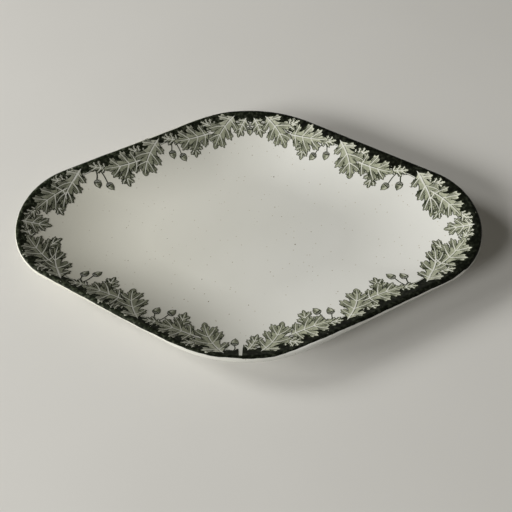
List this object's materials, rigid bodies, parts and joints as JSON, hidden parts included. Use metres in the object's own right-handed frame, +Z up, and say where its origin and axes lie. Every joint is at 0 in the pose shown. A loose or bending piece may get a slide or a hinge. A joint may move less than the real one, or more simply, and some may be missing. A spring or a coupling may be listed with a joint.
{
  "type": "appetizer dish",
  "caption": "Shallow lozenge-shaped earthenware dish with rounded ends, a wall that curves up to a thick round lip, a low foot ring and a dark green printed leaf border.",
  "frame": {"origin": "on the table, under the middle of the dish", "axes": "+X along the long diagonal towards the right tip, +Y along the short diagonal away from the front corner, +Z up"},
  "size_m": [0.3, 0.186, 0.025],
  "materials": {
    "biscuit": "matte fired clay",
    "clear_glaze": "glossy",
    "green_print": "glossy, under the glaze"
  },
  "bodies": {
    "root": {"biscuit_body": "biscuit", "foot_ring": "biscuit", "well_glaze": "clear_glaze", "border_print_long": "green_print", "border_print_short": "green_print", "lip_and_outer_glaze": "clear_glaze", "base_glaze": "clear_glaze"}
  },
  "joints": []
}
